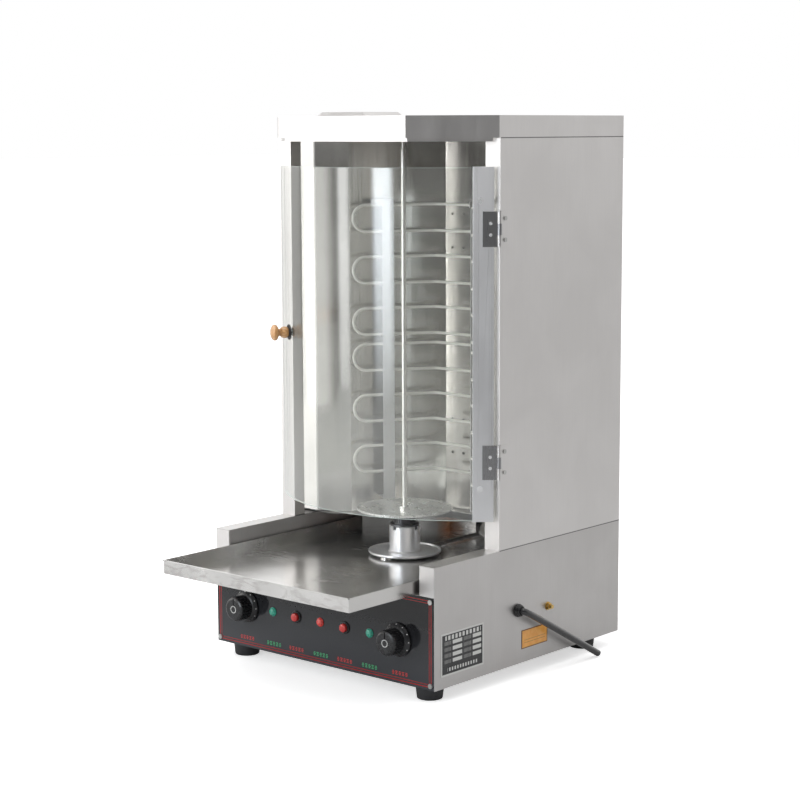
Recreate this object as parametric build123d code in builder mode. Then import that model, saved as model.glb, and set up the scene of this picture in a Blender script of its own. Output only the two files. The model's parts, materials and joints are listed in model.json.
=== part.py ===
from build123d import *
from math import atan2, degrees
import os

# A counter-top vertical broiler. The spit's axis is X = 0, Y = 0, the underside of the base is
# Z = 0, +X is the operator's right when facing the glass, and +Y is towards the back.

os.makedirs("parts", exist_ok=True)

# ---------------------------------------------------------------- driving dimensions, mm
SHEET = 1.2  # stainless sheet of the case
HALF_W = 215.0  # half the width of the base and the cabinet
FRONT = -186.0  # front face of the base
BACK = 254.0  # back face of the base and the cabinet
RAIL_W = 28.0  # width of each boxed side of the base
RAIL_TOP = 174.0
DECK_TOP = 132.0  # shelf that the drip tray slides on
CAB_FRONT = -43.0
CAB_TOP = 757.0
FLANGE_W = 26.0  # front flange of the cabinet
FLANGE_RETURN = 22.0
BACK_RETURN = 15.0
CAP_TOP = 788.0
CAP_NOSE = -136.0
CAP_NOSE_HALF = 122.0
FOOT_X, FOOT_FRONT, FOOT_BACK = 182.0, -157.0, 204.0
FOOT_H = 20.5

LINER_Y = 4.0  # front flange of the reflector
LINER_SHEET = 0.8
LINER_IN = 186.0
LINER_KNEE = (136.0, 30.0)
LINER_CREASE = (52.0, 159.0)
LINER_BOTTOM, LINER_TOP = 176.5, 756.5

ELEMENT_R = 2.3
ELEMENT_BEND = (43.0, 124.0)
ELEMENT_REACH = 131.0  # from the bend to the tip of the hairpin
ELEMENT_RISE = 20.2  # half the height of a hairpin
ZONE_PITCH = 79.0
LOWER_ZONE, UPPER_ZONE = 263.5, 477.0  # lowest hairpin's centre in each zone
TERMINAL_REACH = 105.0  # where a leg turns out through the reflector
TERMINAL_OUT = 50.0

GLASS_R = 270.0
GLASS_CENTRE = 127.7
GLASS_T = 4.0
GLASS_BOTTOM, GLASS_TOP = 218.0, 716.0
GLASS_HALF = 186.0
RAIL_LEN = 30.0  # width of the door's aluminium rail
PIN_X, PIN_Y = 217.0, -46.0
PIN_R, KNUCKLE_R = 1.5, 3.0
HINGE_H = 49.0
HINGE_Z = (302.0, 631.0)
LEAF = 1.2
KNOB_X, KNOB_Z = -133.0, 470.0

TRAY_HALF = 182.0
TRAY_FRONT, TRAY_SIDE_END, TRAY_BACK, TRAY_BACK_HALF = -323.0, 105.0, 184.0, 64.0
TRAY_BOTTOM, TRAY_TOP, TRAY_SHEET = 132.3, 152.5, 1.0
SLOT_HALF, SLOT_FRONT = 10.0, -40.0

SHAFT_R = 8.0
HUB_R, HUB_TOP, HUB_FLANGE_R, HUB_FLANGE_Z = 23.3, 178.0, 55.0, 136.5
DISC_R, DISC_Z = 72.0, 200.0
ROD_R, ROD_TOP, TIP_R, TIP_TOP = 3.5, 739.0, 2.5, 762.0
RUNNING = 0.05  # radial clearance of a running fit

CONTROL_Z = 63.5
KNOB_PITCH, LAMP_PITCH, BUTTON_PITCH = 150.0, 96.0, 48.0
OVERLAY_T = 0.6
OVERLAY_HALF, OVERLAY_MARGIN = 214.0, 0.5
PANEL_FACE = FRONT - OVERLAY_T
GLAND_Y, GLAND_Z = 0.7, 80.0
GLAND_R = 6.5  # thread of the cable gland
CORD_R = 5.0
CORD_TIP = (236.0, 172.0)  # where the cord reaches the floor
EARTH_Y, EARTH_Z = 73.0, 73.0


# ---------------------------------------------------------------- shared shapes
def sheet_outline(points, thickness):
    """Closed outline of a bent sheet: one face follows the points, the other lies to their left."""
    steps = [Vector(*b) - Vector(*a) for a, b in zip(points, points[1:])]
    normals = [Vector(-s.Y, s.X).normalized() for s in steps]
    pairs = zip([normals[0], *normals], [*normals, normals[-1]])
    far = [
        Vector(*p) + (a + b) * (thickness / (1 + a.dot(b)))
        for p, (a, b) in zip(points, pairs)
    ]
    return [*points, *[(v.X, v.Y) for v in reversed(far)]]


def upright(outline, bottom, top):
    """A plan outline standing from bottom to top."""
    with BuildSketch(Plane.XY.offset(bottom)) as plan:
        Polygon(*outline, align=None)
    extrude(plan.sketch, amount=top - bottom)


def block(low, high, mode=Mode.ADD):
    """A box between two corners."""
    size = Vector(*high) - Vector(*low)
    with Locations((Vector(*low) + Vector(*high)) * 0.5):
        Box(size.X, size.Y, size.Z, mode=mode)


def rod(start, direction, radius, length, mode=Mode.ADD):
    """A round bar from a point, along a direction."""
    with Locations(Plane(origin=start, z_dir=direction)):
        Cylinder(radius, length, align=(Align.CENTER, Align.CENTER, Align.MIN), mode=mode)


def turned(profile, plane):
    """A profile of (radius, height) points turned about the plane's normal."""
    side = Plane(origin=plane.origin, x_dir=plane.x_dir, z_dir=-plane.y_dir)
    with BuildSketch(side) as half:
        Polygon(*profile, align=None)
    revolve(half.sketch, axis=Axis(plane.origin, plane.z_dir))


def pan_head(start, outward, radius, height, shank_r, shank):
    """A screw whose head stands on the start point and whose shank runs inward."""
    rod(start, outward, radius, height)
    rod(start, Vector(*outward) * -1, shank_r, shank)


def vents(plane, columns, rows, pitch_x, pitch_y, length, width):
    """A field of slots cut through a panel."""
    with BuildSketch(plane) as field:
        with GridLocations(pitch_x, pitch_y, columns, rows):
            SlotOverall(length, width)
    extrude(field.sketch, amount=10, both=True, mode=Mode.SUBTRACT)


def mirrored(points):
    """The same plan points on the other side of the spit."""
    return [(-x, y) for x, y in points]


# ---------------------------------------------------------------- base
FEET = [(x, y) for x in (-FOOT_X, FOOT_X) for y in (FOOT_FRONT, FOOT_BACK)]
SKIN = HALF_W - SHEET  # inner face of the outer skin
WELL = HALF_W - RAIL_W  # half width of the tray's well
DECK_UNDER = DECK_TOP - SHEET

with BuildPart() as base_floor:
    block((-SKIN, FRONT + SHEET, 0), (SKIN, BACK - SHEET, SHEET))
    for x, y in FEET:
        rod((x, y, -1), (0, 0, 1), 3.3, 5, Mode.SUBTRACT)
    vents(Plane.XY.offset(SHEET), 5, 8, 52, 26, 40, 6)

RAIL_PATH = [(HALF_W, 0), (HALF_W, RAIL_TOP), (WELL, RAIL_TOP), (WELL, DECK_UNDER), (WELL - 14, DECK_UNDER)]


def base_rail(side):
    """One boxed side of the base, with the ledge that carries the deck."""
    path = RAIL_PATH if side > 0 else mirrored(RAIL_PATH)
    plane = Plane(origin=(0, BACK, 0), x_dir=(1, 0, 0), z_dir=(0, -1, 0))
    with BuildSketch(plane) as section:
        Polygon(*sheet_outline(path, side * SHEET), align=None)
    extrude(section.sketch, amount=BACK - FRONT)
    inner, outer = sorted((side * (WELL - 20), side * SKIN))
    for y in (FRONT, BACK - SHEET):
        block((inner, y, 0), (outer, y + SHEET, RAIL_TOP - SHEET), Mode.SUBTRACT)


with BuildPart() as base_side_left:
    base_rail(-1)

with BuildPart() as base_side_right:
    base_rail(1)
    rod((HALF_W + 1, GLAND_Y, GLAND_Z), (-1, 0, 0), GLAND_R + 0.2, 5, Mode.SUBTRACT)
    rod((HALF_W + 1, EARTH_Y, EARTH_Z), (-1, 0, 0), 3.2, 5, Mode.SUBTRACT)

with BuildPart() as base_back:
    block((-SKIN, BACK - SHEET, SHEET), (SKIN, BACK, RAIL_TOP - SHEET))
    vents(Plane.XZ.offset(-BACK).shift_origin((0, BACK, 70)), 6, 5, 56, 15, 40, 6)

with BuildPart() as deck:
    block((-WELL + 0.2, FRONT + SHEET, DECK_UNDER), (WELL - 0.2, BACK - SHEET, DECK_TOP))
    block((-WELL + 15, FRONT + SHEET, DECK_UNDER - 12), (WELL - 15, FRONT + 2 * SHEET, DECK_UNDER))
    rod((0, 0, DECK_UNDER - 1), (0, 0, 1), 12.1, 5, Mode.SUBTRACT)

# ---------------------------------------------------------------- control panel
KNOBS = [-KNOB_PITCH, KNOB_PITCH]
GREENS = [-LAMP_PITCH, LAMP_PITCH]
BUTTONS = [-BUTTON_PITCH, BUTTON_PITCH]
PANEL_CORNERS = [(x, z) for x in (-208.5, 208.5) for z in (7, 125.5)]
CONTROL_HOLES = [(KNOBS, 4.0), (GREENS, 5.2), ([0.0], 5.2), (BUTTONS, 7.8)]


def control_holes():
    """Holes for the controls and the corner screws."""
    for places, radius in CONTROL_HOLES:
        for x in places:
            rod((x, FRONT - 3, CONTROL_Z), (0, 1, 0), radius, 8, Mode.SUBTRACT)
    for x, z in PANEL_CORNERS:
        rod((x, FRONT - 3, z), (0, 1, 0), 1.8, 8, Mode.SUBTRACT)


with BuildPart() as front_panel:
    block((-SKIN, FRONT, SHEET), (SKIN, FRONT + SHEET, DECK_TOP))
    for side in (-1, 1):
        inner, outer = sorted((side * (WELL + SHEET), side * SKIN))
        block((inner, FRONT, DECK_TOP), (outer, FRONT + SHEET, RAIL_TOP - SHEET))
    control_holes()

with BuildPart() as panel_overlay:
    block((-OVERLAY_HALF, PANEL_FACE, OVERLAY_MARGIN), (OVERLAY_HALF, FRONT, DECK_TOP - OVERLAY_MARGIN))
    control_holes()

# ---------------------------------------------------------------- feet
with BuildPart() as rubber_feet:
    for x, y in FEET:
        turned(
            [(3.3, -8), (10, -8), (10, -FOOT_H), (17.5, -FOOT_H)]
            + [(18.3, -FOOT_H + 1.2), (20.4, -2), (20.4, 0), (3.3, 0)],
            Plane.XY.shift_origin((x, y, 0)),
        )

with BuildPart() as foot_screws:
    for x, y in FEET:
        pan_head((x, y, -8), (0, 0, -1), 6.5, 3.5, 3.2, 16)

# ---------------------------------------------------------------- cabinet
SIDE_PATH = [
    (HALF_W - FLANGE_W, CAB_FRONT + FLANGE_RETURN),
    (HALF_W - FLANGE_W, CAB_FRONT),
    (HALF_W, CAB_FRONT),
    (HALF_W, BACK),
    (HALF_W - BACK_RETURN, BACK),
]
HINGE_SCREW_Y = -33.4
HINGE_SCREWS = [z + dz for z in HINGE_Z for dz in (-15, 15)]
BACK_SCREWS = [(x, z) for x in (-208, 208) for z in (200, 380, 560, 735)]

with BuildPart() as cabinet_side_left:
    upright(sheet_outline(mirrored(SIDE_PATH), -SHEET), RAIL_TOP, CAB_TOP)
    for x, z in BACK_SCREWS[:4]:
        rod((x, BACK + 1, z), (0, -1, 0), 1.8, 6, Mode.SUBTRACT)

with BuildPart() as cabinet_side_right:
    upright(sheet_outline(SIDE_PATH, SHEET), RAIL_TOP, CAB_TOP)
    for z in HINGE_SCREWS:
        rod((HALF_W + 1, HINGE_SCREW_Y, z), (-1, 0, 0), 1.8, 5, Mode.SUBTRACT)
    for x, z in BACK_SCREWS[4:]:
        rod((x, BACK + 1, z), (0, -1, 0), 1.8, 6, Mode.SUBTRACT)

with BuildPart() as cabinet_back:
    block((-SKIN + 0.1, BACK - 2 * SHEET, RAIL_TOP), (SKIN - 0.1, BACK - SHEET, CAB_TOP - 0.2))
    for x, z in BACK_SCREWS:
        rod((x, BACK + 1, z), (0, -1, 0), 1.8, 6, Mode.SUBTRACT)
    for z in (250, 690):
        vents(Plane.XZ.offset(-BACK).shift_origin((0, BACK, z)), 6, 5, 56, 15, 40, 6)

LINER_PATH = [(SKIN - 0.1, LINER_Y), (LINER_IN, LINER_Y), LINER_KNEE, LINER_CREASE]
LEDGE = 20.0  # how far the cabinet floor stands into the cooking space

with BuildPart() as cabinet_floor:
    with BuildSketch(Plane.XY.offset(RAIL_TOP)) as plan:
        with Locations((0, (LINER_Y + BACK - 2 * SHEET) / 2)):
            Rectangle(2 * SKIN - 0.4, BACK - 2 * SHEET - LINER_Y - 0.2)
        Polygon(
            *[(166, LINER_Y - 5), (136 - LEDGE, 34), (52 - LEDGE / 2, 159 - LEDGE)],
            *[(LEDGE / 2 - 52, 159 - LEDGE), (LEDGE - 136, 34), (-166, LINER_Y - 5)],
            align=None,
            mode=Mode.SUBTRACT,
        )
    extrude(amount=SHEET)

# ---------------------------------------------------------------- reflector
run = Vector(*ELEMENT_BEND) - Vector(*LINER_CREASE)
flank = (Vector(*LINER_KNEE) - Vector(*LINER_CREASE)).normalized()  # along the right flank, forwards
flank_out = Vector(-flank.Y, flank.X)  # away from the spit, through the right flank
LINER_GAP = -run.dot(flank_out)  # from the heating elements to the flank
HAIRPINS = [z + n * ZONE_PITCH for z in (LOWER_ZONE, UPPER_ZONE) for n in range(3)]
LEG_TURN = Vector(*ELEMENT_BEND) + flank * TERMINAL_REACH
LEGS = [
    Vector(LEG_TURN.X, LEG_TURN.Y, z + dz) for z in HAIRPINS for dz in (-ELEMENT_RISE, ELEMENT_RISE)
]

with BuildPart() as reflector_left:
    upright(sheet_outline(mirrored(LINER_PATH), LINER_SHEET), LINER_BOTTOM, LINER_TOP)

with BuildPart() as reflector_right:
    upright(sheet_outline(LINER_PATH, -LINER_SHEET), LINER_BOTTOM, LINER_TOP)
    for leg in LEGS:
        rod(leg, flank_out, 5.1, TERMINAL_OUT, Mode.SUBTRACT)

with BuildPart() as reflector_back:
    half, face = LINER_CREASE[0] + 0.5, LINER_CREASE[1] + 0.6
    block((-half, face, LINER_BOTTOM), (half, face + LINER_SHEET, LINER_TOP))

with BuildPart() as insulation:
    block((-50, 161, 180), (50, 171, 750))
    left_flank = [LINER_KNEE, LINER_CREASE]
    behind = [Vector(*p) + flank_out * 1.5 for p in left_flank]
    upright(sheet_outline(mirrored([(p.X, p.Y) for p in behind]), 8), 180, 750)

# ---------------------------------------------------------------- cap
CAP_PLAN = [
    (-HALF_W, BACK),
    (-HALF_W, CAB_FRONT - 2),
    (-CAP_NOSE_HALF, CAP_NOSE),
    (CAP_NOSE_HALF, CAP_NOSE),
    (HALF_W, CAB_FRONT - 2),
    (HALF_W, BACK),
]

with BuildPart() as top_cap:
    upright(CAP_PLAN, CAB_TOP, CAP_TOP)
    offset(amount=-SHEET, openings=top_cap.faces().sort_by(Axis.Z)[0])

with BuildPart() as ceiling_plate:
    with BuildSketch(Plane.XY.offset(CAB_TOP)) as plan:
        Polygon(*CAP_PLAN, align=None)
        offset(amount=-SHEET - 0.3, kind=Kind.INTERSECTION)
    extrude(amount=SHEET)
    with BuildSketch(Plane.XY.offset(CAB_TOP)) as lip:
        with BuildLine():
            Polyline((-205, CAB_FRONT - 4), (-118, CAP_NOSE + 8), (118, CAP_NOSE + 8), (205, CAB_FRONT - 4))
            offset(amount=SHEET, side=Side.LEFT)
        make_face()
    extrude(amount=-5)
    rod((0, 0, CAB_TOP - 1), (0, 0, 1), 6.2, 5, Mode.SUBTRACT)

with BuildPart() as cap_cover:
    with BuildSketch(Plane.XY.offset(CAP_TOP)):
        with Locations((0, CAP_NOSE + 42)):
            Rectangle(92, 80)
    with BuildSketch(Plane.XY.offset(CAP_TOP + 5.5)):
        with Locations((0, CAP_NOSE + 42)):
            Rectangle(78, 76)
    loft()

with BuildPart() as upper_bushing:
    turned(
        [(TIP_R + RUNNING, -2.5), (13, -2.5), (13, 0), (6, 0), (6, 21), (TIP_R + RUNNING, 21)],
        Plane.XY.offset(CAB_TOP),
    )

# ---------------------------------------------------------------- heating elements
tip_start = ELEMENT_REACH - ELEMENT_RISE


def hairpin(z):
    """One tubular element: two legs round the back of the spit, joined by a bend at the left."""
    away = Vector(-flank.X, flank.Y)
    bend = Vector(*ELEMENT_BEND)
    end = LEG_TURN + flank_out * TERMINAL_OUT
    left_bend = Vector(-bend.X, bend.Y)
    turn = left_bend + away * tip_start
    tip = left_bend + away * ELEMENT_REACH
    plan = [end, LEG_TURN, bend, left_bend, turn]
    top = [(p.X, p.Y, z + ELEMENT_RISE) for p in plan]
    low = [(p.X, p.Y, z - ELEMENT_RISE) for p in plan]
    with BuildLine() as path:
        FilletPolyline(*top, radius=10)
        ThreePointArc(top[-1], (tip.X, tip.Y, z), low[-1])
        FilletPolyline(*reversed(low), radius=10)
    with BuildSketch(Plane(origin=top[0], z_dir=flank_out * -1)) as section:
        Circle(ELEMENT_R)
    sweep(section.sketch, path=path.wires()[0])


with BuildPart() as heating_elements_lower:
    for z in HAIRPINS[:3]:
        hairpin(z)

with BuildPart() as heating_elements_upper:
    for z in HAIRPINS[3:]:
        hairpin(z)

with BuildPart() as element_bushes:
    for leg in LEGS:
        mouth = leg + flank_out * (LINER_GAP - 4)
        rod(mouth, flank_out, 5.0, 12)
        rod(mouth - flank_out, flank_out, ELEMENT_R + 0.1, 20, Mode.SUBTRACT)

with BuildPart() as element_terminals:
    for leg in LEGS:
        end = leg + flank_out * (TERMINAL_OUT + 0.1)
        rod(end, flank_out, 1.5, 9)
        rod(end + flank_out * 3, flank_out, 3.2, 2.4)

STRAP_ALONG, STRAP_W = 76.5, 18.5
STRAP_BOTTOM, STRAP_TOP = 200.0, 664.0


def strap(side):
    """A strip in front of the elements, bent back to the reflector at both ends."""
    along = Vector(side * flank.X, flank.Y)
    out = Vector(side * flank_out.X, flank_out.Y)
    middle = Vector(side * ELEMENT_BEND[0], ELEMENT_BEND[1]) + along * STRAP_ALONG
    face = middle - out * (ELEMENT_R + 0.3)
    plane = Plane(origin=(face.X, face.Y, STRAP_BOTTOM), x_dir=along, z_dir=(0, 0, 1))
    across = out.dot(plane.y_dir)
    depth = LINER_GAP + ELEMENT_R + 0.1
    with BuildSketch(plane) as strip:
        with Locations((0, -across * SHEET / 2)):
            Rectangle(STRAP_W, SHEET)
    extrude(strip.sketch, amount=STRAP_TOP - STRAP_BOTTOM)
    for height in (0, STRAP_TOP - STRAP_BOTTOM - SHEET):
        with BuildSketch(plane.offset(height)) as foot:
            with Locations((0, across * (depth / 2 - SHEET / 2))):
                Rectangle(STRAP_W, depth + SHEET)
        extrude(foot.sketch, amount=SHEET)
    with BuildSketch(plane.offset(STRAP_TOP - STRAP_BOTTOM - 9)) as tab:
        with Locations((STRAP_W / 2 + 9, -across * SHEET / 2)):
            Rectangle(18, SHEET)
    extrude(tab.sketch, amount=9)


with BuildPart() as element_straps:
    strap(-1)
    strap(1)

# ---------------------------------------------------------------- drive under the deck
with BuildPart() as gearmotor:
    with Locations((0, 0, 14)):
        Cylinder(31, 36, align=(Align.CENTER, Align.CENTER, Align.MIN))
    block((-38, -32, 50), (38, 32, 92))
    fillet(gearmotor.edges().filter_by(Axis.Z), 5)
    rod((0, 0, 92), (0, 0, 1), 12, 3)
    rod((0, 0, 74), (0, 0, 1), 5 + RUNNING, 30, Mode.SUBTRACT)

with BuildPart() as motor_bracket:
    block((-62, -34, 95), (62, 34, 97))
    for side in (-1, 1):
        inner, outer = sorted((side * 60, side * 62))
        block((inner, -34, 97), (outer, 34, DECK_UNDER))
        inner, outer = sorted((side * 62, side * 76))
        block((inner, -34, DECK_UNDER - 2), (outer, 34, DECK_UNDER))
    rod((0, 0, 90), (0, 0, 1), 9.5, 10, Mode.SUBTRACT)

with BuildPart() as shaft_bearing:
    turned(
        [(SHAFT_R + RUNNING, -5), (18, -5), (18, -SHEET)]
        + [(12, -SHEET), (12, 0.1), (SHAFT_R + RUNNING, 0.1)],
        Plane.XY.offset(DECK_TOP),
    )

with BuildPart() as drive_shaft:
    rod((0, 0, 75), (0, 0, 1), 5, 24)
    rod((0, 0, 98), (0, 0, 1), SHAFT_R, 64)

SLOT_DEPTH, DOG_W = 5.0, 6.0
PILOT_R = 10.0

with BuildPart() as drive_hub:
    turned(
        [
            (SHAFT_R + 0.02, HUB_FLANGE_Z),
            (HUB_FLANGE_R - 1.5, HUB_FLANGE_Z),
            (HUB_FLANGE_R, HUB_FLANGE_Z + 1.5),
            (HUB_FLANGE_R, HUB_FLANGE_Z + 4),
            (HUB_FLANGE_R - 1.5, HUB_FLANGE_Z + 4),
            (HUB_FLANGE_R - 2.5, HUB_FLANGE_Z + 2),
            (HUB_R + 2, HUB_FLANGE_Z + 2),
            (HUB_R, HUB_FLANGE_Z + 4),
            (HUB_R, HUB_TOP - 1),
            (HUB_R - 1, HUB_TOP),
            (SHAFT_R + 0.02, HUB_TOP),
        ],
        Plane.XY,
    )
    rod((0, 0, 163), (0, 0, 1), PILOT_R, 20, Mode.SUBTRACT)
    rod((0, 0, 162.2), (0, 0, 1), SHAFT_R + 0.02, 3.8)
    with BuildSketch(Plane.XY.offset(HUB_TOP)) as slots:
        with PolarLocations(0, 4):
            with Locations((HUB_R / 2 + 4, 0)):
                Rectangle(HUB_R + 8, DOG_W)
    extrude(slots.sketch, amount=-SLOT_DEPTH, mode=Mode.SUBTRACT)

# ---------------------------------------------------------------- spit
SEAT = HUB_TOP + 0.05
GROOVES = 24

with BuildPart() as spit_coupling:
    rod((0, 0, 167.5), (0, 0, 1), PILOT_R - RUNNING, 12)
    rod((0, 0, SEAT), (0, 0, 1), 22, 3)
    rod((0, 0, SEAT + 3), (0, 0, 1), 17, DISC_Z - SEAT - 3)
    with BuildSketch(Plane.XY.offset(SEAT)) as dogs:
        with PolarLocations(16.2, 4):
            Rectangle(10.4, DOG_W - 0.6)
    extrude(dogs.sketch, amount=0.3 - SLOT_DEPTH)
    with BuildSketch(Plane.XY.offset(SEAT + 5)) as flutes:
        with PolarLocations(17.4, GROOVES):
            Rectangle(3.2, 2.2)
    extrude(flutes.sketch, amount=DISC_Z - SEAT - 7, mode=Mode.SUBTRACT)
    rod((0, 0, DISC_Z - 14), (0, 0, 1), ROD_R + 0.05, 20, Mode.SUBTRACT)

with BuildPart() as meat_disc:
    turned(
        [
            (ROD_R + 0.05, 0),
            (52, 0),
            (DISC_R - 4, 2.5),
            (DISC_R, 2.5),
            (DISC_R, 5.5),
            (DISC_R - 1.4, 5.5),
            (DISC_R - 4.5, 4),
            (52, 1.5),
            (ROD_R + 0.05, 1.5),
        ],
        Plane.XY.offset(DISC_Z),
    )

with BuildPart() as disc_nut:
    with BuildSketch(Plane.XY.offset(DISC_Z + 1.5)) as hexagon:
        RegularPolygon(7.5, 6)
        Circle(ROD_R + 0.05, mode=Mode.SUBTRACT)
    extrude(amount=5)

with BuildPart() as spit_rod:
    turned(
        [
            (0, DISC_Z - 13.5),
            (ROD_R, DISC_Z - 13.5),
            (ROD_R, ROD_TOP),
            (TIP_R, ROD_TOP + 2.5),
            (TIP_R, TIP_TOP - 1.5),
            (TIP_R - 1, TIP_TOP),
            (0, TIP_TOP),
        ],
        Plane.XY,
    )

# ---------------------------------------------------------------- door
glass_end = Vector(GLASS_HALF, GLASS_CENTRE - (GLASS_R**2 - GLASS_HALF**2) ** 0.5)
door_out = Vector(GLASS_HALF, glass_end.Y - GLASS_CENTRE).normalized()  # outward from the glass's edge
door_along = Vector(-door_out.Y, door_out.X)  # along the rail, towards the hinge
RAIL_FRAME = Plane(
    origin=(glass_end.X, glass_end.Y, 0),
    x_dir=(door_along.X, door_along.Y, 0),
    z_dir=(0, 0, 1),
)
OUT = -1.0  # the rail frame's Y axis points into the cabinet, so outward is negative
edge_angle = degrees(atan2(door_out.Y, door_out.X))
span = 180 + 2 * edge_angle
DOOR_SCREWS = [264.0, 670.6]
knob_out = Vector(KNOB_X, -((GLASS_R**2 - KNOB_X**2) ** 0.5)) * (1 / GLASS_R)
KNOB_FRAME = Plane(
    origin=(KNOB_X, GLASS_CENTRE + knob_out.Y * GLASS_R, KNOB_Z),
    x_dir=(0, 0, 1),
    z_dir=(knob_out.X, knob_out.Y, 0),
)
GLASS_UNDER_RAIL = 20.0


def rail_piece(s0, s1, t0, t1, bottom, top):
    """A strip in the door rail's frame: s runs towards the hinge, t outward from the glass."""
    with BuildSketch(RAIL_FRAME.offset(bottom)) as strip:
        with Locations(((s0 + s1) / 2, OUT * (t0 + t1) / 2)):
            Rectangle(s1 - s0, t1 - t0)
    extrude(strip.sketch, amount=top - bottom)


def rail_point(s, t, z):
    """A point of the door rail's frame."""
    return RAIL_FRAME.from_local_coords((s, OUT * t, z))


OUTWARD = (door_out.X, door_out.Y, 0)
INWARD = (-door_out.X, -door_out.Y, 0)

with BuildPart() as door_glass:
    with BuildSketch(Plane.XY.offset(GLASS_BOTTOM)) as plan:
        with BuildLine():
            outer = CenterArc((0, GLASS_CENTRE), GLASS_R, edge_angle, -span)
            inner = CenterArc((0, GLASS_CENTRE), GLASS_R - GLASS_T, edge_angle, -span)
            Line(outer @ 1, inner @ 1)
            Line(outer @ 0, inner @ 0)
        make_face()
    extrude(amount=GLASS_TOP - GLASS_BOTTOM)
    rail_piece(-0.01, GLASS_UNDER_RAIL, -GLASS_T, 0, GLASS_BOTTOM, GLASS_TOP)
    for z in DOOR_SCREWS:
        rod(rail_point(11, 5, z), INWARD, 2.3, 15, Mode.SUBTRACT)
    rod(KNOB_FRAME.from_local_coords((0, 0, 5)), KNOB_FRAME.z_dir * -1, 2.6, 12, Mode.SUBTRACT)

RAIL_BOTTOM, RAIL_UP = GLASS_BOTTOM - 1, GLASS_TOP + 1.5
LEAF_SCREWS = [z + dz for z in HINGE_Z for dz in (-8, 8)]

with BuildPart() as door_rail:
    rail_piece(0.1, RAIL_LEN, 0.1, 2, RAIL_BOTTOM, RAIL_UP)
    rail_piece(0.1, 5, 0.1, 3.6, RAIL_BOTTOM, RAIL_UP)
    for z in DOOR_SCREWS:
        rod(rail_point(11, 5, z), INWARD, 2.3, 8, Mode.SUBTRACT)
    for z in LEAF_SCREWS:
        rod(rail_point(25, 5, z), INWARD, 1.6, 8, Mode.SUBTRACT)

with BuildPart() as door_clamp:
    rail_piece(0.5, 21, -6, -4.1, RAIL_BOTTOM + 3, RAIL_UP - 3)
    for z in DOOR_SCREWS:
        rod(rail_point(11, 0, z), INWARD, 2.3, 8, Mode.SUBTRACT)

with BuildPart() as door_screws:
    for z in DOOR_SCREWS:
        rod(rail_point(11, 2, z), OUTWARD, 4.2, 2.2)
        rod(rail_point(11, 2, z), INWARD, 2.0, 13)
        rod(rail_point(11, -6, z), INWARD, 3.8, 3)
    for z in LEAF_SCREWS:
        rod(rail_point(25, 2 + LEAF, z), OUTWARD, 2.4, 0.8)
        rod(rail_point(25, 2 + LEAF, z), INWARD, 1.5, 4.5)

# Each butt hinge has one knuckle on the door's leaf between two on the cabinet's leaf.
pin_s = (Vector(PIN_X, PIN_Y) - glass_end).dot(door_along)
THIRD = HINGE_H / 3


def knuckle(z0, z1):
    """A rolled knuckle round the hinge pin."""
    rod((PIN_X, PIN_Y, z0), (0, 0, 1), KNUCKLE_R, z1 - z0)


with BuildPart() as door_hinge_leaves:
    for z in HINGE_Z:
        rail_piece(14, pin_s - 3.6, 2, 2 + LEAF, z - HINGE_H / 2, z + HINGE_H / 2)
        rail_piece(pin_s - 4, pin_s, 2, 2 + LEAF, z - THIRD / 2 + 0.2, z + THIRD / 2 - 0.2)
        knuckle(z - THIRD / 2 + 0.2, z + THIRD / 2 - 0.2)
        rod((PIN_X, PIN_Y, z - HINGE_H), (0, 0, 1), PIN_R + RUNNING, 2 * HINGE_H, Mode.SUBTRACT)
    for z in LEAF_SCREWS:
        rod(rail_point(25, 6, z), INWARD, 1.6, 8, Mode.SUBTRACT)

with BuildPart() as frame_hinge_leaves:
    for z in HINGE_Z:
        block((HALF_W, PIN_Y + 3.4, z - HINGE_H / 2), (HALF_W + LEAF, PIN_Y + 19, z + HINGE_H / 2))
        for low, high in ((z - HINGE_H / 2, z - THIRD / 2), (z + THIRD / 2, z + HINGE_H / 2)):
            block((HALF_W, PIN_Y, low), (HALF_W + LEAF, PIN_Y + 4, high))
            knuckle(low, high)
        rod((PIN_X, PIN_Y, z - HINGE_H), (0, 0, 1), PIN_R + 0.02, 2 * HINGE_H, Mode.SUBTRACT)
    for z in HINGE_SCREWS:
        rod((HALF_W + 3, HINGE_SCREW_Y, z), (-1, 0, 0), 1.8, 5, Mode.SUBTRACT)

with BuildPart() as hinge_pins:
    for z in HINGE_Z:
        rod((PIN_X, PIN_Y, z - HINGE_H / 2), (0, 0, 1), PIN_R, HINGE_H)
        rod((PIN_X, PIN_Y, z + HINGE_H / 2 + 0.02), (0, 0, 1), 2.4, 1.2)
        rod((PIN_X, PIN_Y, z + HINGE_H / 2 - 1), (0, 0, 1), PIN_R, 2)

with BuildPart() as frame_hinge_screws:
    for z in HINGE_SCREWS:
        pan_head((HALF_W + LEAF, HINGE_SCREW_Y, z), (1, 0, 0), 3.1, 1.6, 1.7, 7)

with BuildPart() as door_knob:
    turned(
        [(2.1, 3), (7, 3), (8.6, 5), (8.8, 9), (7.4, 13), (5.4, 15), (5.2, 17.5), (8, 18.5)]
        + [(11.2, 20.5), (12.1, 23), (11.2, 25.8), (8, 27.8), (3, 28.6), (0, 28.6), (0, 14), (2.1, 14)],
        KNOB_FRAME,
    )

with BuildPart() as door_knob_screw:
    turned([(0, -7.6), (4.4, -7.6), (4.6, -6), (4.6, -5.2), (2, -5.2), (2, 13.5), (0, 13.5)], KNOB_FRAME)

with BuildPart() as door_knob_washers:
    turned([(2.7, 0.3), (11.5, 0.3), (11.5, 1.5), (7.5, 2.9), (2.7, 2.9)], KNOB_FRAME)
    turned([(2.7, -5.1), (6.5, -5.1), (6.5, -4.4), (2.7, -4.4)], KNOB_FRAME)

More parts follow.
